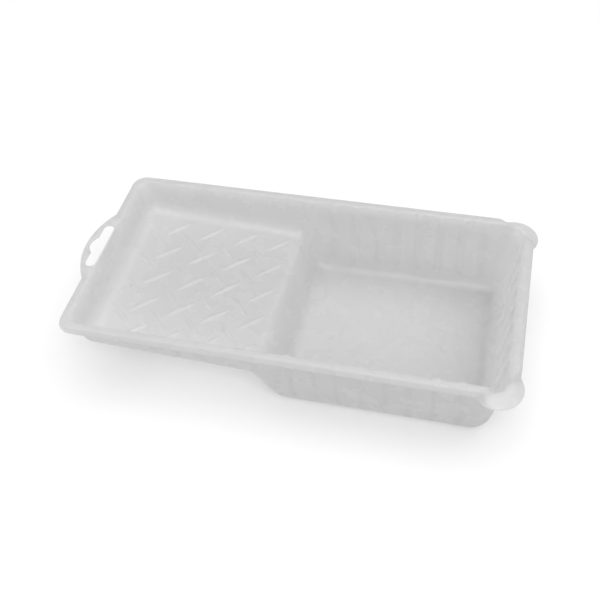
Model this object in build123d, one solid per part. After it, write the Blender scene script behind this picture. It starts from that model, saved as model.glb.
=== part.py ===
"""Paint roller tray: one thin polypropylene moulding, split at its natural borders into named regions.

X runs along the tray, from the hang tab (-X) to the deep well (+X). Y runs across it. Z is up, and
the underside of the well floor rests on Z = 0. The origin is the centre of the overall box, at the
bottom. All lengths are in millimetres and all angles in degrees.
"""
from build123d import *
import os
from math import cos, radians, sin, sqrt, tan

# ---- driving dimensions ----
overall_length = 290.0      # tip of the hang tab to the corner lips
rim_length = 279.5          # lower edge of the rim skirt, end to end
rim_width = 146.0           # lower edge of the rim skirt, front to rear
height = 55.5               # table to the top of the rim
wall = 1.2                  # moulded wall thickness

flange_width = 5.0          # flat top of the rim
skirt_drop = 3.6            # the rim's skirt turns down and out from the flange
skirt_spread = 1.75
rim_corner_radius = 9.0

side_draft = 7.2            # lean of the front and rear walls
end_draft = 9.0             # lean of the wall at the well's end
ramp_end_draft = 12.0       # lean of the low wall behind the ramp

deck_drop_at_wall = 22.5    # rim to deck, where the deck would meet the ramp's end wall
deck_drop_at_crease = 28.6  # rim to deck, where the deck tips over into the well
crease_x = -14.7            # the crease between the deck and the drop
drop_slope = 64.0           # steepness of the drop from the deck to the well floor

ramp_foot_radius = 10.0     # radii inside the tray
crease_radius = 3.0
drop_foot_radius = 11.0
end_foot_radius = 12.0
side_radius = 8.0           # foot of the long walls and all four upright corners

tread_pitch = 24.0          # two crossed sets of ridges on one square grid
tread_length = 24.0
tread_width = 2.4
tread_height = 1.1
tread_tip = 0.5             # width and height of a ridge's blunt ends
tread_columns = 4
tread_last_x = -27.5        # column of ridges nearest the crease

rib_pitch = 14.5            # shallow upright ribs on the well's three tall walls
rib_first_x = 9.0
rib_count_side = 8
rib_count_end = 7
rib_radius = 2.7            # round bar whose crown stands out of the wall
rib_height = 1.2
rib_foot_z = 11.7           # centre of the rib's rounded lower end

tab_half_span = 30.5        # hang tab, a flat bow outside the rim
tab_tip_radius = 54.2
slot_length = 38.5          # hanging slot with a round hump for a peg
slot_width = 7.1
slot_clearance = 0.2        # slot edge to the outside of the wall
hump_radius = 9.2
hump_rise = 3.1

lip_radius = 15.6           # rounded pouring lips on the two well corners
lip_centre_y = 61.2
lip_start_x = 114.0         # the lips blend in from here along the long sides
lip_start_y = 50.0          # and from here along the end
lip_dip = 2.6               # the inner edge dips this far below the rim
lip_drop = 6.4              # the outer edge, below the rim
lip_seat_drop = 5.0         # level where a lip sits on its corner wall

# ---- places worked out from the driving dimensions ----
left = -overall_length / 2
right = overall_length / 2
rim_band = flange_width + skirt_spread
tab_sagitta = tab_tip_radius - sqrt(tab_tip_radius**2 - tab_half_span**2)
rim_left = left + tab_sagitta - skirt_spread
rim_right = rim_left + rim_length
rim_centre_x = (rim_left + rim_right) / 2
open_left = rim_left + rim_band
open_right = rim_right - rim_band
open_half_width = rim_width / 2 - rim_band
lip_centre_x = right - lip_radius
flange_under = height - wall
floor_top = wall
above_rim = 10.0            # the cavity is drawn this far past the rim, then cut
crease_z = height - deck_drop_at_crease
drop_foot_x = crease_x + (crease_z - floor_top) / tan(radians(drop_slope))
ramp_wall_foot_x = open_left + deck_drop_at_wall * tan(radians(ramp_end_draft))
deck_slope = (deck_drop_at_crease - deck_drop_at_wall) / (crease_x - ramp_wall_foot_x)

# borders between the named regions, all on flat cuts; the well's are where the lips start
ramp_border_x = ramp_wall_foot_x + ramp_foot_radius
drop_border_x = crease_x - crease_radius
floor_border_x = drop_foot_x + drop_foot_radius
deck_border_y = open_half_width - deck_drop_at_crease * tan(radians(side_draft)) - side_radius
far = overall_length        # a reach that is past the tray on every side


def deck_top(x):
    """Height of the deck's upper face at x."""
    return crease_z + (crease_x - x) * deck_slope


def side_face_y(z):
    """Half width between the long walls' inner faces at height z."""
    return open_half_width - (height - z) * tan(radians(side_draft))


def end_face_x(z):
    """Inner face of the well's end wall at height z."""
    return open_right - (height - z) * tan(radians(end_draft))


def block(x0, x1, y0, y1, z0=-far, z1=far):
    """A box between two corners."""
    return Pos(x0, y0, z0) * Box(x1 - x0, y1 - y0, z1 - z0, align=(Align.MIN, Align.MIN, Align.MIN))


def tray_form(grow):
    """The solid that fills the tray, with every wall face moved outward by grow."""
    top = height + above_rim
    long_profile = Polygon(
        (open_left - above_rim * tan(radians(ramp_end_draft)), top),
        (ramp_wall_foot_x, deck_top(ramp_wall_foot_x)),
        (crease_x, crease_z),
        (drop_foot_x, floor_top),
        (end_face_x(floor_top), floor_top),
        (end_face_x(top), top),
        align=None,
    )
    cross_profile = Polygon(
        (-side_face_y(top), top),
        (-side_face_y(floor_top), floor_top),
        (side_face_y(floor_top), floor_top),
        (side_face_y(top), top),
        align=None,
    )
    if grow:
        long_profile = offset(long_profile, grow, kind=Kind.INTERSECTION)
        cross_profile = offset(cross_profile, grow, kind=Kind.INTERSECTION)
    across_tray = extrude(Plane.XZ * long_profile, far, both=True)
    along_tray = extrude(Plane.YZ * cross_profile, far, both=True)
    form = across_tray & along_tray

    bends = [edge for edge in form.edges().filter_by(Axis.Y) if edge.center().Z < height]
    foot, crease, drop_foot, end_foot = ShapeList(bends).sort_by(Axis.X)
    form = fillet(foot, ramp_foot_radius + grow)
    form = fillet(nearest_edge(form, crease), crease_radius - grow)
    form = fillet(nearest_edge(form, drop_foot), drop_foot_radius + grow)
    form = fillet(nearest_edge(form, end_foot), end_foot_radius + grow)

    for side in (0, -1):
        face = form.faces().sort_by(Axis.Y)[side]
        outline = [edge for edge in face.edges() if edge.center().Z < height]
        form = fillet(outline, side_radius + grow)
    return form


def nearest_edge(form, edge):
    """The edge across the form that lies where edge was before the last fillet."""
    return form.edges().filter_by(Axis.Y).sort_by_distance(edge.center())[0]


def rib_lines():
    """A plane for each rib: its origin at the rib's rounded foot, its Z up along the wall."""
    set_back = rib_radius - rib_height
    lines = []
    for side in (-1, 1):
        lean = radians(side_draft)
        outward = Vector(0, side * cos(lean), -sin(lean))
        upward = Vector(0, side * sin(lean), cos(lean))
        for index in range(rib_count_side):
            foot = Vector(rib_first_x + index * rib_pitch, side * side_face_y(rib_foot_z), rib_foot_z)
            lines.append(Plane(foot + outward * set_back, x_dir=(1, 0, 0), z_dir=upward))
    lean = radians(end_draft)
    outward = Vector(cos(lean), 0, -sin(lean))
    upward = Vector(sin(lean), 0, cos(lean))
    foot_z = rib_foot_z + end_foot_radius / 2
    for index in range(rib_count_end):
        across = (index - (rib_count_end - 1) / 2) * rib_pitch
        foot = Vector(end_face_x(foot_z), across, foot_z)
        lines.append(Plane(foot + outward * set_back, x_dir=(0, 1, 0), z_dir=upward))
    return lines


def rib_bars(radius):
    """Round-ended upright bars along every rib line."""
    bar = Cylinder(radius, height, align=(Align.CENTER, Align.CENTER, Align.MIN)) + Sphere(radius)
    return [line * bar for line in rib_lines()]


def rim_outline(inset):
    """Rounded rectangle around the flange's top edge, moved inward by inset."""
    return Pos(rim_centre_x, 0) * RectangleRounded(
        rim_length - 2 * (skirt_spread + inset),
        rim_width - 2 * (skirt_spread + inset),
        rim_corner_radius - inset,
    )


def rim_ring(cavity):
    """Flat flange with a skirt that slopes down and out."""
    splay = -Vector(0, 1).get_angle(Vector(skirt_spread, skirt_drop))
    solid = extrude(Pos(0, 0, height) * rim_outline(0), -skirt_drop, taper=splay)
    underneath = extrude(Pos(0, 0, flange_under) * rim_outline(wall / 2), wall - skirt_drop, taper=splay)
    ring = solid - underneath
    return ring - cavity


def hang_tab(cavity):
    """Flat bow with the peg slot, flush with the flange."""
    bow = Pos(left + tab_tip_radius, 0) * Circle(tab_tip_radius)
    plan = bow & flat_strip(left, open_left + tab_sagitta, tab_half_span)
    slot_x = open_left - wall - slot_clearance - slot_width / 2
    slot = Pos(slot_x, 0) * SlotOverall(slot_length, slot_width, rotation=90)
    hump_x = slot_x - slot_width / 2 - hump_rise + hump_radius
    hump = Pos(hump_x, 0) * Circle(hump_radius)
    hump &= flat_strip(left, slot_x, tab_half_span)
    plate = extrude(Pos(0, 0, flange_under) * (plan - slot - hump), wall)
    return plate - cavity - block(open_left, far, -far, far)


def flat_strip(x0, x1, half_span):
    """Flat rectangle from x0 to x1 that reaches half_span to either side of the centre line."""
    return Pos((x0 + x1) / 2, 0) * Rectangle(x1 - x0, 2 * half_span)


def lip_reach(origin, outward):
    """Distance from origin to the pouring lip's outer edge, or to the plain skirt where that is further."""
    to_centre_x = lip_centre_x - origin.X
    to_centre_y = lip_centre_y - origin.Y
    along = to_centre_x * outward.X + to_centre_y * outward.Y
    aside_squared = to_centre_x**2 + to_centre_y**2 - along**2
    inside = lip_radius**2 - aside_squared
    return max(rim_band, along + sqrt(inside)) if inside > 0 else rim_band


def lip_section(origin, outward, shape):
    """Closed cross-section of a pouring lip; shape goes from 0, the plain rim, to 1, the full lip."""
    reach = lip_reach(origin, outward)
    dip = lip_dip * shape
    drop = skirt_drop + (lip_drop - skirt_drop) * shape
    lean = tan(radians(side_draft))
    bend = reach * flange_width / rim_band
    bend_drop = (dip + (lip_drop - dip) * flange_width / rim_band) * shape
    outer_wall = wall / cos(radians(side_draft))
    under_drop = dip + wall + (bend_drop - dip) * outer_wall / bend
    points = [
        (-dip * lean, -dip),
        (bend, -bend_drop),
        (reach, -drop),
        (reach - wall, -drop),
        (bend - wall / 2, -bend_drop - wall),
        (outer_wall - under_drop * lean, -under_drop),
        (outer_wall - lip_seat_drop * lean, -lip_seat_drop),
        (-lip_seat_drop * lean, -lip_seat_drop),
    ]
    corners = [origin + outward * across + Vector(0, 0, height + up) for across, up in points]
    return Wire.make_polygon(corners, close=True)


def corner_lip():
    """Rear pouring lip, lofted through cross-sections that turn round the well's corner."""
    arc_x = open_right - side_radius
    arc_y = open_half_width - side_radius
    to_rear = Vector(0, 1, 0)
    to_end = Vector(1, 0, 0)
    sections = []
    steps = 4
    for index in range(steps):
        part = index / steps
        origin = Vector(lip_start_x + (arc_x - lip_start_x) * part, open_half_width, 0)
        sections.append(lip_section(origin, to_rear, part))
    turn_steps = 13
    for index in range(turn_steps + 1):
        turn = radians(90 * (1 - index / turn_steps))
        outward = Vector(cos(turn), sin(turn), 0)
        origin = Vector(arc_x, arc_y, 0) + outward * side_radius
        sections.append(lip_section(origin, outward, 1))
    for index in range(1, steps):
        part = index / (steps - 1)
        origin = Vector(open_right, arc_y + (lip_start_y - arc_y) * part, 0)
        sections.append(lip_section(origin, to_end, 1 - part))
    return Solid.make_loft(sections, ruled=True)


def tread_ridge():
    """One ridge along X: lens-shaped in plan, arched in height, with blunt ends; the deck is at Z = 0."""
    half = tread_length / 2
    plan = make_face([
        ThreePointArc((-half, -tread_tip / 2), (0, -tread_width / 2), (half, -tread_tip / 2)),
        Line((half, -tread_tip / 2), (half, tread_tip / 2)),
        ThreePointArc((half, tread_tip / 2), (0, tread_width / 2), (-half, tread_tip / 2)),
        Line((-half, tread_tip / 2), (-half, -tread_tip / 2)),
    ])
    side = make_face([
        ThreePointArc((-half, tread_tip), (0, tread_height), (half, tread_tip)),
        Polyline((half, tread_tip), (half, -tread_tip), (-half, -tread_tip), (-half, tread_tip)),
    ])
    return extrude(plan, tread_height, both=True) & extrude(Plane.XZ * side, tread_width, both=True)


def tread_ridges(cavity):
    """Two crossed sets of ridges that stand on the deck's upper face and fade into the walls' feet."""
    ridge = tread_ridge()
    lie_on_deck = Rot(0, Vector(1, 0).get_angle(Vector(1, deck_slope)), 0)
    ridges = []
    for column in range(tread_columns):
        x = tread_last_x - column * tread_pitch
        for row in range(-2, 3):
            place = Pos(x, row * tread_pitch, deck_top(x)) * lie_on_deck * Rot(0, 0, 45)
            ridges.append(place * ridge & cavity)
        x -= tread_pitch / 2
        for row in range(-2, 2):
            place = Pos(x, (row + 0.5) * tread_pitch, deck_top(x)) * lie_on_deck * Rot(0, 0, -45)
            ridges.append(place * ridge & cavity)
    return ridges


def regions(shell):
    """The shell's walls and floors, cut apart on flat borders."""
    body = shell & block(-far, far, -far, far, -far, flange_under)
    seat = height - lip_seat_drop
    pieces = {
        "ramp_deck": body & block(ramp_border_x, drop_border_x, -deck_border_y, deck_border_y),
        "ramp_end_wall": body & block(-far, ramp_border_x, -deck_border_y, deck_border_y),
        "ramp_drop": body & block(drop_border_x, floor_border_x, -lip_start_y, lip_start_y),
        "well_floor": body & block(floor_border_x, lip_start_x, -lip_start_y, lip_start_y),
        "well_end_wall": body & block(lip_start_x, far, -lip_start_y, lip_start_y),
    }
    for name, side in (("front", -1), ("rear", 1)):
        deck_span = sorted((side * deck_border_y, side * far))
        well_span = sorted((side * lip_start_y, side * far))
        corner_span = sorted((side * lip_start_y, side * far))
        pieces[f"ramp_corner_{name}"] = body & block(-far, ramp_border_x, *deck_span)
        pieces[f"ramp_{name}_wall"] = body & block(ramp_border_x, drop_border_x, *deck_span)
        pieces[f"well_{name}_wall"] = body & block(drop_border_x, lip_start_x, *well_span)
        pieces[f"well_corner_{name}"] = body & block(lip_start_x, far, *corner_span, -far, seat)
    return pieces


def rim_pieces(ring):
    """The rim's straight runs and its two plain corners."""
    pieces = {"rim_end": ring & block(lip_start_x, far, -lip_start_y, lip_start_y)}
    for name, side in (("front", -1), ("rear", 1)):
        along = sorted((side * tab_half_span, side * far))
        pieces[f"rim_{name}"] = ring & block(ramp_border_x, lip_start_x, *along)
        pieces[f"rim_corner_{name}"] = ring & block(-far, ramp_border_x, *along)
    return pieces


def build():
    cavity = tray_form(0) - rib_bars(rib_radius)
    outside = tray_form(wall) - rib_bars(rib_radius - wall)
    rear_lip = corner_lip()
    pieces = regions(outside - cavity)
    pieces |= rim_pieces(rim_ring(cavity))
    pieces["hang_tab"] = hang_tab(cavity)
    pieces["corner_lip_rear"] = rear_lip
    pieces["corner_lip_front"] = mirror(rear_lip, about=Plane.XZ)
    pieces["tread_ridges"] = Compound(children=tread_ridges(cavity))
    os.makedirs("parts", exist_ok=True)
    for name, piece in pieces.items():
        export_step(piece, f"parts/{name}.step")


build()
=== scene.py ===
"""Looks of the paint roller tray: one seamless translucent moulding, a floor, soft light and a camera.

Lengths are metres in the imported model's own frame: X runs along the tray towards the well, Y across it
to the rear wall, and Z up. The moulding is built as one sheet, its upper side, which is then given its
thickness. The sheet is a set of rings around the opening, from the skirt's edge in to the foot of the
walls, and a grid inside them for the deck, the drop and the well floor.
"""

from math import acos, asin, atan, cos, hypot, pi, radians, sin, sqrt, tan

import bmesh
import bpy
import numpy as np
from mathutils import Matrix, Vector


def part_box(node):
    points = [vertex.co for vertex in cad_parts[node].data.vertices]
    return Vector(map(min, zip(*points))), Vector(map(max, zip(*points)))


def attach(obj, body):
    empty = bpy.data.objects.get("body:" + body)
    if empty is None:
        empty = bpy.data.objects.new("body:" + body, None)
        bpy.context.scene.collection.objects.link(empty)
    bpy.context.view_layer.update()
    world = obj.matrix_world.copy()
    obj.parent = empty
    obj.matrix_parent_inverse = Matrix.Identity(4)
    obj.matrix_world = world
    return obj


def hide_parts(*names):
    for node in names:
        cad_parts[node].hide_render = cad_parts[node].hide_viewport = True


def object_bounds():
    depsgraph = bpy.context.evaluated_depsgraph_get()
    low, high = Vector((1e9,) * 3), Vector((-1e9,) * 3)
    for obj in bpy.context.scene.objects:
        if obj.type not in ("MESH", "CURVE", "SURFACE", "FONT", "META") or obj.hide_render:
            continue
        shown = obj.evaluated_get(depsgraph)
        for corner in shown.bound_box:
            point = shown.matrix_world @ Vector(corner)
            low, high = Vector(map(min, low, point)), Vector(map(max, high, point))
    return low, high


MM = 0.001

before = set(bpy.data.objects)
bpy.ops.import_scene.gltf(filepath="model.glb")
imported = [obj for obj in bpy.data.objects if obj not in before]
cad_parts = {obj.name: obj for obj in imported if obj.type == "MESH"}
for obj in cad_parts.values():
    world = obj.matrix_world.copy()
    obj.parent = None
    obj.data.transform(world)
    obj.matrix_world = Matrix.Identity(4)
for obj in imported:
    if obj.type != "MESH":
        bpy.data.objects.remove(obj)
cad_low, cad_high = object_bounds()

# ---- sizes read from the frame ----
rim_top = cad_high.z
half_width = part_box("rim_rear")[1].y             # lower edge of the skirt, front and rear
skirt_drop = rim_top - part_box("rim_rear")[0].z
rim_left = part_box("rim_corner_rear")[0].x        # lower edge of the skirt, at both ends
rim_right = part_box("rim_end")[1].x
floor_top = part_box("well_floor")[1].z
wall = floor_top - cad_low.z
tab_tip_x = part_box("hang_tab")[0].x
tab_half_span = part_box("hang_tab")[1].y
lip_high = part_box("corner_lip_rear")[1]
lip_drop = rim_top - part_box("corner_lip_rear")[0].z

# ---- sizes of the moulding ----
flange_width = 5.0 * MM
skirt_spread = 1.75 * MM
rim_corner_radius = 9.0 * MM
rim_bend_radius = 1.4 * MM       # the flange's bends, into the skirt and into the walls
edge_round = 0.35 * MM           # the sheet's free edges bulge this far
side_draft = radians(7.2)
end_draft = radians(9.0)
ramp_end_draft = radians(12.0)
deck_drop_at_wall = 22.5 * MM
deck_drop_at_crease = 28.6 * MM
crease_x = -14.7 * MM
drop_slope = radians(64.0)
ramp_foot_radius = 10.0 * MM
crease_radius = 3.0 * MM
drop_foot_radius = 11.0 * MM
end_foot_radius = 12.0 * MM
side_radius = 8.0 * MM

tread_pitch = 24.0 * MM
tread_half_length = 12.0 * MM
tread_half_width = 1.55 * MM
tread_tip_width = 0.3 * MM
tread_height = 1.0 * MM
tread_columns = 4
tread_last_x = -27.5 * MM

rib_pitch = 14.5 * MM
rib_first_x = 9.0 * MM
rib_count_side = 8
rib_count_end = 7
rib_half_width = 2.3 * MM
rib_height = 1.2 * MM
rib_foot_z = 11.7 * MM

tab_tip_radius = 54.2 * MM
slot_half_length = 19.25 * MM
slot_half_width = 3.55 * MM
slot_clearance = 0.2 * MM
hump_radius = 9.2 * MM
hump_rise = 3.1 * MM

lip_radius = 15.6 * MM
lip_dip = 2.6 * MM               # the inner edge dips this far at the pouring lips
lip_bulge_x = 0.7 * MM           # and swells outward
lip_bulge_y = 1.7 * MM
lip_bulge_depth = 11.0 * MM
lip_crest_width = 5.0 * MM       # the flange falls into the lip over this length
lip_crest_before_x = 3.3 * MM    # where the fall begins, before the corner's curve on a long wall
lip_crest_before_y = 9.3 * MM    # and before the opening's corner on the end wall
lip_crest_skew = 1.1             # the crest runs diagonally over the flange
lip_convexity = 1.2

# ---- fineness of the mesh ----
tread_step = tread_pitch / 34    # the grid's squares on the deck, so that every ridge is drawn alike
drop_step = 1.1 * MM
well_step = 0.9 * MM
border_rows = 8                  # rows between the square grid and the long walls' feet
corner_count = 13                # stations inside each corner
bend_count = 4
flange_count = 2
wall_count = 15
foot_count = 8
edge_rows = 3
crease_bend_count = 12
drop_bend_count = 24
tab_edge_count = 60
slot_end_count = 16
hump_count = 18
wall_crowding = 1.6              # the wall's rows get closer towards its foot
corner_spread_x = 60 * MM        # past this the long walls' stations spread out to the corners
thickest_bend = 1.4              # the most that a bend's offset may exceed the wall thickness

floor_half_size = 30.0
floor_gap = 0.2 * MM             # keeps the floor off the moulding's underside

# ---- places worked out from the sizes ----
rim_band = flange_width + skirt_spread
open_left = rim_left + rim_band
open_right = rim_right - rim_band
open_half_width = half_width - rim_band
crease_z = rim_top - deck_drop_at_crease
drop_foot_x = crease_x + (crease_z - floor_top) / tan(drop_slope)
ramp_wall_foot_x = open_left + deck_drop_at_wall * tan(ramp_end_draft)
deck_slope = (deck_drop_at_crease - deck_drop_at_wall) / (crease_x - ramp_wall_foot_x)
lip_centre = Vector((lip_high.x - lip_radius, lip_high.y - lip_radius))
bend_setback = rim_bend_radius * tan((pi / 2 - side_draft) / 2)
crest_x = open_right - side_radius - lip_crest_before_x
crest_y = open_half_width - lip_crest_before_y
slot_x = open_left - wall - slot_clearance - slot_half_width


def smooth(share):
    """Ease from 0 to 1 as share goes from 0 to 1."""
    share = min(max(share, 0.0), 1.0)
    return share * share * (3 - 2 * share)


def between(a, b, count):
    """Points that divide the line from a to b evenly, without its ends."""
    return [a + (b - a) * (index + 1) / (count + 1) for index in range(count)]


def round_corner(before, corner, after, radius, count):
    """Points on the arc that rounds a corner of a flat path."""
    to_before = (before - corner).normalized()
    to_after = (after - corner).normalized()
    half = acos(to_before.dot(to_after)) / 2
    start = corner + to_before * radius / tan(half)
    end = corner + to_after * radius / tan(half)
    centre = corner + (to_before + to_after).normalized() * radius / sin(half)
    turn = pi - 2 * half
    points = []
    for index in range(count):
        share = index / (count - 1)
        arm = (start - centre) * sin((1 - share) * turn) + (end - centre) * sin(share * turn)
        points.append(centre + arm / sin(turn))
    return points


def section(draft, floor_drop, foot_radius, floor_slope=0.0):
    """Upper side of the sheet across a straight wall, from the skirt's edge to where the floor is flat.

    Each point is the distance outward from the rim's inner edge and the height above the rim.
    """
    crease = Vector((flange_width, 0))
    skirt_edge = Vector((rim_band, -skirt_drop))
    skirt_edge += (crease - skirt_edge).normalized() * edge_round
    inner_edge = Vector((0, 0))
    foot = Vector((-floor_drop * tan(draft), -floor_drop))
    floor_side = foot - Vector((1, floor_slope))
    outer_bend = round_corner(skirt_edge, crease, inner_edge, rim_bend_radius, bend_count)
    inner_bend = round_corner(crease, inner_edge, foot, rim_bend_radius, bend_count)
    foot_bend = round_corner(inner_edge, foot, floor_side, foot_radius, foot_count)
    points = [skirt_edge, (skirt_edge + outer_bend[0]) / 2, *outer_bend]
    points += between(outer_bend[-1], inner_bend[0], flange_count)
    points += inner_bend
    points += wall_points(inner_bend[-1], foot_bend[0])
    return points + foot_bend


def wall_points(top, bottom):
    """Points down the wall, closer together towards its foot."""
    shares = [(index + 1) / (wall_count + 1) for index in range(wall_count)]
    return [top + (bottom - top) * (1 - (1 - share) ** wall_crowding) for share in shares]


bend_level = 2 + bend_count + flange_count       # where the flange turns into the wall
crease_level = 1 + bend_count                    # where the skirt has turned into the flange
wall_level = bend_level + bend_count
foot_level = wall_level + wall_count
level_count = foot_level + foot_count

left_section = section(ramp_end_draft, deck_drop_at_wall, ramp_foot_radius, deck_slope)
right_section = section(end_draft, rim_top - floor_top, end_foot_radius)
grid_left = open_left - left_section[-1].x
grid_right = open_right + right_section[-1].x


def floor_profile():
    """The deck, the drop and the well floor as points along the tray, with their bends rounded."""
    start = Vector((grid_left, crease_z + (crease_x - grid_left) * deck_slope))
    crease = Vector((crease_x, crease_z))
    drop_foot = Vector((drop_foot_x, floor_top))
    end = Vector((grid_right, floor_top))
    crease_bend = round_corner(start, crease, drop_foot, crease_radius, crease_bend_count)
    foot_bend = round_corner(crease, drop_foot, end, drop_foot_radius, drop_bend_count)
    return np.array([start, *crease_bend, *foot_bend, end])


profile = floor_profile()


def floor_z(x):
    """Height of the deck, the drop or the well floor at x."""
    return float(np.interp(x, profile[:, 0], profile[:, 1]))


def grid_columns():
    """X of the grid's columns, and which of them end the flat deck and start the flat well floor."""
    deck_steps = int((tread_last_x - grid_left) / tread_step) - 1
    deck_start = tread_last_x - deck_steps * tread_step
    bend_start = crease_x - crease_radius * tan((drop_slope - atan(deck_slope)) / 2)
    split = drop_foot_x + drop_foot_radius * tan(drop_slope / 2)
    on_deck = np.arange(deck_start, bend_start, tread_step)
    on_drop = np.linspace(bend_start, split, round((split - bend_start) / drop_step) + 1)
    in_well = np.linspace(split, grid_right, round((grid_right - split) / well_step) + 1)
    deck_end = len(on_deck) + 1
    well_start = deck_end + len(on_drop) - 1
    return np.concatenate([[grid_left], on_deck, on_drop, in_well[1:]]), deck_end, well_start


columns, deck_column, well_column = grid_columns()
side_sections = [section(side_draft, rim_top - floor_z(x), side_radius) for x in columns]
grid_half_widths = [open_half_width + points[-1].x for points in side_sections]
square_rows = int(min(grid_half_widths) / tread_step) - 2
last_column = len(columns) - 1
last_row = 2 * (square_rows + border_rows)
tab_row = round(tab_half_span / tread_step)      # the tab's end, counted from the middle row


def row_y(column, row):
    """Y of a grid row: even steps in the middle, and then evenly out to the long walls' feet."""
    count = row - last_row // 2
    if abs(count) <= square_rows:
        return count * tread_step
    inner = square_rows * tread_step
    share = (abs(count) - square_rows) / border_rows
    return (1 if count > 0 else -1) * (inner + (grid_half_widths[column] - inner) * share)


def corner_inset(outward):
    """How far the rim's left corner centres lie inside the opening, at a distance outward of its edge."""
    share = min(max(outward / flange_width, 0), 1)
    return side_radius + (rim_corner_radius - flange_width - side_radius) * share


def corner_centre(level, on_left):
    """Centre of the corner arcs at a level: straight under the rim's, then in to the grid's corner."""
    end_section, grid_x, open_x, sign = (
        (left_section, grid_left, open_left, -1) if on_left else (right_section, grid_right, open_right, 1)
    )
    side_section = side_sections[0 if on_left else -1]
    grid_y = grid_half_widths[0 if on_left else -1]
    inset = corner_inset(end_section[level].x) if on_left else side_radius
    rim_x = open_x - sign * inset
    rim_y = open_half_width - inset
    top = side_section[wall_level].y
    bottom = side_section[foot_level].y
    share = min(max((side_section[level].y - top) / (bottom - top), 0), 1)
    return rim_x + (grid_x - rim_x) * share, rim_y + (grid_y - rim_y) * share


left_centres = [corner_centre(level, True) for level in range(level_count)]
right_centres = [corner_centre(level, False) for level in range(level_count)]


def rib_rise(along, z, first, count, foot_z):
    """How far a row of upright ribs stands out of its wall."""
    index = min(max(round((along - first) / rib_pitch), 0), count - 1)
    away = hypot(along - first - index * rib_pitch, max(0, foot_z - z))
    return rib_height * max(0, 1 - (away / rib_half_width) ** 2)


def lip_share(corner_distance, outward):
    """0 on the plain rim and 1 on a pouring lip; corner_distance is measured past the crest."""
    return smooth((corner_distance + lip_crest_skew * max(outward, 0)) / lip_crest_width)


def lip_reach(origin, outward):
    """Distance from the inner edge out to the edge of the lip, or of the skirt where that is further."""
    to_centre = lip_centre - origin
    along = to_centre.dot(outward)
    inside = lip_radius**2 - (to_centre.length_squared - along**2)
    return max(rim_band, along + sqrt(inside)) - edge_round if inside > 0 else rim_band - edge_round


def lip_offset(point, level, share, reach, bulge, draft):
    """Where a point of the plain section goes on a pouring lip."""
    if level <= bend_level:
        across = (point.x - bend_setback) / (rim_band - bend_setback - edge_round)
        across = min(max(across, 0), 1)
        lip = Vector((
            bend_setback + across * (reach - bend_setback) + bulge * (1 - across),
            -lip_dip - (lip_drop - lip_dip) * across**lip_convexity,
        ))
        return point.lerp(lip, share)
    depth = -point.y
    fade = max(0, 1 - depth / rim_top)
    swell = bulge * (1 - smooth(depth / lip_bulge_depth))
    down = Vector((-tan(draft), -1)) * lip_dip * fade**2
    return point + (down + Vector((swell, 0))) * share


def side_station(column, sign):
    """A ring's points on a long wall, at one grid column."""
    x = columns[column]
    to_left = even_ramp(x, -corner_spread_x, grid_left)
    to_right = even_ramp(x, corner_spread_x, grid_right)
    points = []
    for level, point in enumerate(side_sections[column]):
        level_x = x + to_left * (left_centres[level][0] - grid_left)
        level_x += to_right * (right_centres[level][0] - grid_right)
        share = lip_share(level_x - crest_x, point.x)
        if share > 0:
            reach = lip_reach(Vector((level_x, open_half_width)), Vector((0, 1)))
            point = lip_offset(point, level, share, reach, lip_bulge_y, side_draft)
        rise = rib_rise(level_x, rim_top + point.y, rib_first_x, rib_count_side, rib_foot_z)
        out = open_half_width + (point.x - rib_fade(level) * rise)
        points.append((level_x, sign * out, rim_top + point.y))
    return points


def even_ramp(value, start, end):
    """Straight ramp from 0 at start to 1 at end."""
    return min(max((value - start) / (end - start), 0), 1)


def rib_fade(level):
    """The ribs reach over the rim's bend and fade across the flange."""
    if level <= crease_level:
        return 0.0
    if level < bend_level:
        return ((level - crease_level) / (bend_level - crease_level)) ** 2
    return 1.0


def end_station(row, on_left):
    """A ring's points on an end wall, at one grid row."""
    column = 0 if on_left else last_column
    grid_y = grid_half_widths[column]
    y = row_y(column, row)
    spread = even_ramp(abs(y), tab_half_span, grid_y) * (1 if y > 0 else -1)
    end_rib_foot_z = rib_foot_z + end_foot_radius / 2
    first_rib_y = -(rib_count_end - 1) / 2 * rib_pitch
    points = []
    for level, point in enumerate(left_section if on_left else right_section):
        centre_y = (left_centres if on_left else right_centres)[level][1]
        level_y = y + spread * (centre_y - grid_y)
        if on_left:
            points.append((open_left - point.x, level_y, rim_top + point.y))
            continue
        share = lip_share(abs(level_y) - crest_y, point.x)
        if share > 0:
            reach = lip_reach(Vector((open_right, abs(level_y))), Vector((1, 0)))
            point = lip_offset(point, level, share, reach, lip_bulge_x, end_draft)
        rise = rib_rise(level_y, rim_top + point.y, first_rib_y, rib_count_end, end_rib_foot_z)
        points.append((open_right + point.x - rib_fade(level) * rise, level_y, rim_top + point.y))
    return points


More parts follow.
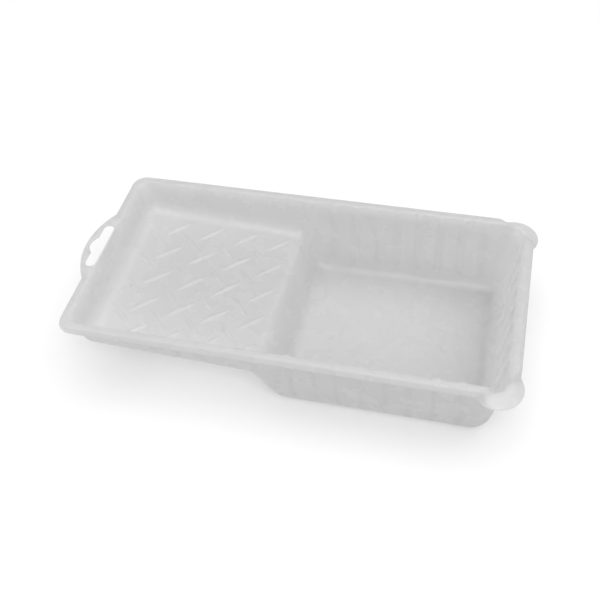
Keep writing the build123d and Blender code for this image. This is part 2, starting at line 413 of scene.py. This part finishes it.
def corner_station(turn, on_left, sign):
    """A ring's points in a corner; turn goes from 0 on the end wall to a right angle on the long wall."""
    end_section = left_section if on_left else right_section
    side_section = side_sections[0 if on_left else -1]
    centres = left_centres if on_left else right_centres
    open_x = -open_left if on_left else open_right
    toward = Vector((cos(turn), sin(turn)))
    bulge = Vector((lip_bulge_x, lip_bulge_y))
    points = []
    for level, (end_point, side_point) in enumerate(zip(end_section, side_section)):
        centre = Vector((abs(centres[level][0]), centres[level][1]))
        if not on_left:
            origin = Vector((open_right, open_half_width)) - Vector((1, 1)) * side_radius
            origin += toward * side_radius
            reach = lip_reach(origin, toward)
            end_point = lip_offset(end_point, level, 1, reach, bulge.x, end_draft)
            side_point = lip_offset(side_point, level, 1, reach, bulge.y, side_draft)
        extent = Vector((open_x + end_point.x, open_half_width + side_point.x))
        across = Vector((
            centre.x + (extent.x - centre.x) * toward.x,
            centre.y + (extent.y - centre.y) * toward.y,
        ))
        height = end_point.y * toward.x**2 + side_point.y * toward.y**2
        points.append((-across.x if on_left else across.x, sign * across.y, rim_top + height))
    return points


def ring_stations():
    """Every station around the opening, and the grid corner or border point where each one ends.

    They go round from the front left, along the front, the well's end, the rear and the ramp's end.
    """
    turns = [pi / 2 * (index + 1) / (corner_count + 1) for index in range(corner_count)]
    stations = []
    stations += [(side_station(i, -1), (i, 0)) for i in range(last_column + 1)]
    stations += [(corner_station(turn, False, -1), (last_column, 0)) for turn in reversed(turns)]
    stations += [(end_station(j, False), (last_column, j)) for j in range(last_row + 1)]
    stations += [(corner_station(turn, False, 1), (last_column, last_row)) for turn in turns]
    stations += [(side_station(i, 1), (i, last_row)) for i in range(last_column, -1, -1)]
    stations += [(corner_station(turn, True, 1), (0, last_row)) for turn in reversed(turns)]
    stations += [(end_station(j, True), (0, j)) for j in range(last_row, -1, -1)]
    stations += [(corner_station(turn, True, -1), (0, 0)) for turn in turns]
    return stations


def tread_rise(x, y):
    """Height of the tread's crossed, lens-shaped ridges above the deck at a point."""
    rise = 0.0
    for shift, lean in ((0, 1), (0.5, -1)):
        column = min(max(round((tread_last_x - x) / tread_pitch - shift), 0), tread_columns - 1)
        for near_column in (column - 1, column, column + 1):
            if not 0 <= near_column < tread_columns:
                continue
            from_x = x - (tread_last_x - (near_column + shift) * tread_pitch)
            row = min(max(round(y / tread_pitch - shift), -2), 1 if shift else 2)
            from_y = y - (row + shift) * tread_pitch
            along = (from_x + lean * from_y) / sqrt(2) / tread_half_length
            aside = (from_y - lean * from_x) / sqrt(2)
            if abs(along) < 1:
                lens = 1 - along**2
                width = tread_tip_width + (tread_half_width - tread_tip_width) * lens
                rise = max(rise, tread_height * lens * (1 - (aside / width) ** 2))
    return rise


def add_grid(sheet):
    """Adds the deck, the drop and the well floor's border; returns their points by column and row."""
    grid = {}
    for i, x in enumerate(columns):
        inner = range(last_row + 1) if i <= well_column or i == last_column else (0, last_row)
        for j in inner:
            grid[i, j] = sheet.verts.new((x, row_y(i, j), floor_z(x)))
    for i in range(well_column):
        for j in range(last_row):
            sheet.faces.new((grid[i, j], grid[i + 1, j], grid[i + 1, j + 1], grid[i, j + 1]))
    return grid


def grid_border(first, last):
    """The grid's border between two columns, as columns and rows, counterclockwise seen from above."""
    border = [(i, 0) for i in range(first, last)]
    border += [(last, j) for j in range(last_row)]
    border += [(i, last_row) for i in range(last, first, -1)]
    return border + [(first, j) for j in range(last_row, 0, -1)]


def add_rings(sheet, grid):
    """Adds the skirt, the flange and the walls; returns their points by station and level."""
    rings = []
    for points, border in ring_stations():
        rings.append([sheet.verts.new(point) for point in points[:-1]] + [grid[border]])
    in_tab = tab_stations()
    for index, ring in enumerate(rings):
        following = rings[(index + 1) % len(rings)]
        first = bend_level if index in in_tab[:-1] else 0
        for level in range(first, level_count - 1):
            corners = (ring[level], following[level], following[level + 1], ring[level + 1])
            sheet.faces.new(dict.fromkeys(corners))
    return rings


def tab_stations():
    """Stations along the hang tab, from its rear end to its front end."""
    first_of_end = 2 * (last_column + 1) + last_row + 1 + 3 * corner_count
    middle = first_of_end + last_row // 2
    return range(middle - tab_row, middle + tab_row + 1)


def fill_flat(sheet, paths):
    """Fills the flat area inside the first closed path and outside the others with upward faces."""
    edges = []
    for path in paths:
        for a, b in zip(path, path[1:] + path[:1]):
            edges.append(sheet.edges.get((a, b)) or sheet.edges.new((a, b)))
    made = bmesh.ops.triangle_fill(sheet, use_beauty=True, edges=edges, normal=(0, 0, 1))
    plate = [item for item in made["geom"] if isinstance(item, bmesh.types.BMFace)]
    for face in plate:
        face.normal_update()
        if face.normal.z < 0:
            face.normal_flip()
    return plate


def tab_outline():
    """The tab's bowed outer edge, from its rear end to its front end."""
    radius = tab_tip_radius - edge_round
    reach = asin(tab_row * tread_step / tab_tip_radius)
    centre_x = tab_tip_x + tab_tip_radius
    turns = [pi - reach + 2 * reach * index / tab_edge_count for index in range(tab_edge_count + 1)]
    return [Vector((centre_x + radius * cos(turn), radius * sin(turn), rim_top)) for turn in turns]


def slot_outline():
    """The hanging slot: long sides, round ends, and a round hump on the outer side for a peg."""
    half = slot_half_width + edge_round
    end_y = slot_half_length - slot_half_width
    hump = hump_radius + edge_round
    hump_x = slot_x - slot_half_width - hump_rise + hump_radius
    hump_reach = acos((hump_x - slot_x + half) / hump)
    points = []
    for index in range(slot_end_count + 1):
        turn = pi * index / slot_end_count
        points.append((slot_x + half * cos(turn), end_y + half * sin(turn)))
    for index in range(hump_count + 1):
        turn = pi - hump_reach + 2 * hump_reach * index / hump_count
        points.append((hump_x + hump * cos(turn), hump * sin(turn)))
    for index in range(slot_end_count + 1):
        turn = pi + pi * index / slot_end_count
        points.append((slot_x + half * cos(turn), -end_y + half * sin(turn)))
    return [Vector((x, y, rim_top)) for x, y in points]


def fill_tab(sheet, rings):
    """Fills the flat plate between the rim's bend, the tab's bow and the slot."""
    stations = tab_stations()
    rear, front = rings[stations[0]], rings[stations[-1]]
    outline = [rings[station][bend_level] for station in reversed(stations)]
    outline += [rear[level] for level in range(bend_level - 1, crease_level - 1, -1)]
    outline += [sheet.verts.new(point) for point in tab_outline()]
    outline += [front[level] for level in range(crease_level, bend_level)]
    fill_flat(sheet, [outline, [sheet.verts.new(point) for point in slot_outline()]])


def deck_underside(border):
    """Triangles that fill the deck's plain underside, as places in its border."""
    plate = bmesh.new()
    verts = [plate.verts.new(point) for point in border]
    plate.verts.index_update()
    triangles = [[vert.index for vert in face.verts] for face in fill_flat(plate, [verts])]
    plate.free()
    return triangles


def thicken(sheet, grid):
    """Points and faces of the closed moulding: the sheet, its underside and rounded free edges."""
    sheet.normal_update()
    sheet.verts.index_update()
    count = len(sheet.verts)
    top = [vert.co.copy() for vert in sheet.verts]
    under = []
    for vert in sheet.verts:
        under.append(vert.co - vert.normal * wall * min(vert.calc_shell_factor(), thickest_bend))
    plain = set()
    for (i, j), vert in grid.items():
        if i <= deck_column:
            top[vert.index].z += tread_rise(vert.co.x, vert.co.y)
            if 0 < i < deck_column and 0 < j < last_row:
                plain.add(vert)
    faces = [[vert.index for vert in face.verts] for face in sheet.faces]
    in_deck = {grid[place] for place in grid_border(0, deck_column)} | plain
    for face in sheet.faces:
        if not all(vert in in_deck for vert in face.verts):
            faces.append([count + vert.index for vert in reversed(face.verts)])
    border = [grid[place].index for place in grid_border(0, deck_column)]
    for triangle in deck_underside([under[index] for index in border]):
        faces.append([count + border[place] for place in reversed(triangle)])
    points = top + under
    add_free_edges(sheet, points, faces)
    return points, faces


def add_free_edges(sheet, points, faces):
    """Joins the sheet's two sides round its free edges with a half-round strip."""
    count = len(sheet.verts)
    rims = [edge.link_loops[0] for edge in sheet.edges if len(edge.link_loops) == 1]
    outward = {}
    for loop in rims:
        a, b = loop.vert, loop.link_loop_next.vert
        for vert in (a, b):
            side = (b.co - a.co).normalized().cross(vert.normal)
            outward[vert.index] = outward.get(vert.index, Vector()) + side
    strips = {}
    for index, side in outward.items():
        middle = (points[index] + points[count + index]) / 2
        half = (points[index] - points[count + index]) / 2
        strips[index] = [index]
        for row in range(1, edge_rows + 1):
            turn = pi * row / (edge_rows + 1)
            strips[index].append(len(points))
            points.append(middle + half * cos(turn) + side.normalized() * edge_round * sin(turn))
        strips[index].append(count + index)
    for loop in rims:
        a, b = strips[loop.vert.index], strips[loop.link_loop_next.vert.index]
        for row in range(edge_rows + 1):
            faces.append([b[row], a[row], a[row + 1], b[row + 1]])


def used_only(points, faces):
    """The same mesh without the points that no face uses."""
    used = sorted({index for face in faces for index in face})
    new_index = {index: place for place, index in enumerate(used)}
    return [points[index] for index in used], [[new_index[index] for index in face] for face in faces]


def make_moulding():
    """The whole tray as one closed, smooth mesh."""
    sheet = bmesh.new()
    grid = add_grid(sheet)
    fill_flat(sheet, [[grid[place] for place in grid_border(well_column, last_column)]])
    fill_tab(sheet, add_rings(sheet, grid))
    points, faces = used_only(*thicken(sheet, grid))
    sheet.free()
    mesh = bpy.data.meshes.new("tray_moulding")
    mesh.from_pydata(points, [], faces)
    mesh.polygons.foreach_set("use_smooth", [True] * len(mesh.polygons))
    mesh.update()
    moulding = bpy.data.objects.new("tray_moulding", mesh)
    bpy.context.scene.collection.objects.link(moulding)
    return moulding


# ---- material ----
class Nodes:
    """A material's node tree, with a short way to add and join nodes."""

    def __init__(self, name):
        self.material = bpy.data.materials.new(name)
        self.material.use_nodes = True
        self.tree = self.material.node_tree
        self.shader = self.tree.nodes["Principled BSDF"]
        self.output = self.tree.nodes["Material Output"]

    def add(self, kind, **values):
        node = self.tree.nodes.new(kind)
        for name, value in values.items():
            if name in node.inputs:
                node.inputs[name].default_value = value
            else:
                setattr(node, name, value)
        return node

    def join(self, source, target):
        self.tree.links.new(source, target)

    def texture(self, kind, place, **values):
        node = self.add(kind, **values)
        self.join(place, node.inputs["Vector"])
        return node

    def spread(self, source, low, high, to_low, to_high):
        """Maps a range of a number to another range."""
        node = self.add("ShaderNodeMapRange")
        for name, value in zip(("From Min", "From Max", "To Min", "To Max"), (low, high, to_low, to_high)):
            node.inputs[name].default_value = value
        self.join(source, node.inputs["Value"])
        return node.outputs["Result"]


def polypropylene():
    """Natural translucent polypropylene: milky, satin, finely textured, with faint flow marks.

    The translucent share of the mix has no gloss, so the milky share's index of refraction is set above
    the plastic's own to keep the surface satin.
    """
    nodes = Nodes("polypropylene")
    shader = nodes.shader
    shader.inputs["Base Color"].default_value = (0.6, 0.6, 0.6, 1)
    shader.inputs["IOR"].default_value = 2.3
    place = nodes.add("ShaderNodeTexCoord").outputs["Object"]
    clouds = nodes.texture("ShaderNodeTexNoise", place, Scale=45.0, Detail=4.0, Roughness=0.6)
    roughness = nodes.spread(clouds.outputs["Fac"], 0.3, 0.7, 0.22, 0.32)
    nodes.join(roughness, shader.inputs["Roughness"])
    grain = nodes.texture("ShaderNodeTexNoise", place, Scale=2200.0, Detail=2.0, Roughness=0.5)
    waves = nodes.texture("ShaderNodeTexNoise", place, Scale=60.0, Detail=2.0, Roughness=0.4)
    fine = nodes.add("ShaderNodeBump", Strength=0.12, Distance=0.05 * MM)
    broad = nodes.add("ShaderNodeBump", Strength=0.25, Distance=0.35 * MM)
    nodes.join(waves.outputs["Fac"], broad.inputs["Height"])
    nodes.join(grain.outputs["Fac"], fine.inputs["Height"])
    nodes.join(broad.outputs["Normal"], fine.inputs["Normal"])
    nodes.join(fine.outputs["Normal"], shader.inputs["Normal"])
    through = nodes.add("ShaderNodeBsdfTranslucent", Color=(0.945, 0.945, 0.945, 1))
    blend = nodes.add("ShaderNodeMixShader", Fac=0.75)
    nodes.join(shader.outputs["BSDF"], blend.inputs[1])
    nodes.join(through.outputs["BSDF"], blend.inputs[2])
    nodes.join(blend.outputs["Shader"], nodes.output.inputs["Surface"])
    return nodes.material


def floor_material():
    """Plain pale matt material."""
    nodes = Nodes("pale_floor")
    nodes.shader.inputs["Base Color"].default_value = (0.9, 0.9, 0.9, 1)
    nodes.shader.inputs["Roughness"].default_value = 0.8
    return nodes.material


# ---- floor, light and camera ----
def make_floor():
    """A large pale sheet just under the tray."""
    mesh = bpy.data.meshes.new("floor")
    half = floor_half_size
    z = cad_low.z - floor_gap
    corners = [(-half, -half, z), (half, -half, z), (half, half, z), (-half, half, z)]
    mesh.from_pydata(corners, [], [(0, 1, 2, 3)])
    floor = bpy.data.objects.new("floor", mesh)
    floor.data.materials.append(floor_material())
    bpy.context.scene.collection.objects.link(floor)


def add_light(name, kind, place, power):
    """Adds a lamp that shines from its place towards the tray."""
    light = bpy.data.lights.new(name, kind)
    light.energy = power
    lamp = bpy.data.objects.new(name, light)
    lamp.location = place
    lamp.rotation_mode = "QUATERNION"
    lamp.rotation_quaternion = (-Vector(place)).to_track_quat("-Z", "Y")
    bpy.context.scene.collection.objects.link(lamp)
    return light


def make_lights():
    """A pale room, a very wide soft light from above and a small soft box in front."""
    world = bpy.data.worlds.new("studio")
    world.use_nodes = True
    background = world.node_tree.nodes["Background"]
    background.inputs["Color"].default_value = (1, 1, 1, 1)
    background.inputs["Strength"].default_value = 0.4
    bpy.context.scene.world = world
    overhead = add_light("overhead", "SUN", (0.2, -0.1, 1.0), 2.25)
    overhead.angle = radians(92)
    front = add_light("front_box", "AREA", (0.25, -0.6, 1.0), 1.2)
    front.shape = "RECTANGLE"
    front.size, front.size_y = 0.4, 0.3
    bpy.context.scene.view_settings.view_transform = "Standard"


def make_camera():
    """The viewing angle: above the front long side, a little towards the well, tilted slightly."""
    sensor_width, focal_length = 36.0, 52.89
    azimuth, elevation, roll = radians(17.148), radians(48.014), radians(-4.847)
    target = Vector((6.3, -23.0, 55.5)) * MM
    distance = 539.9 * MM
    back = Vector((sin(azimuth) * cos(elevation), -cos(azimuth) * cos(elevation), sin(elevation)))
    right = Vector((cos(azimuth), sin(azimuth), 0))
    up = back.cross(right)
    camera_right = right * cos(roll) + up * sin(roll)
    camera_up = up * cos(roll) - right * sin(roll)
    data = bpy.data.cameras.new("camera")
    data.sensor_width = sensor_width
    data.lens = focal_length
    camera = bpy.data.objects.new("camera", data)
    turn = Matrix((camera_right, camera_up, back)).transposed().to_4x4()
    camera.matrix_world = Matrix.Translation(target + back * distance) @ turn
    bpy.context.scene.collection.objects.link(camera)
    bpy.context.scene.camera = camera


moulding = make_moulding()
moulding.data.materials.append(polypropylene())
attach(moulding, "root")
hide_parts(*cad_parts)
make_floor()
make_lights()
make_camera()
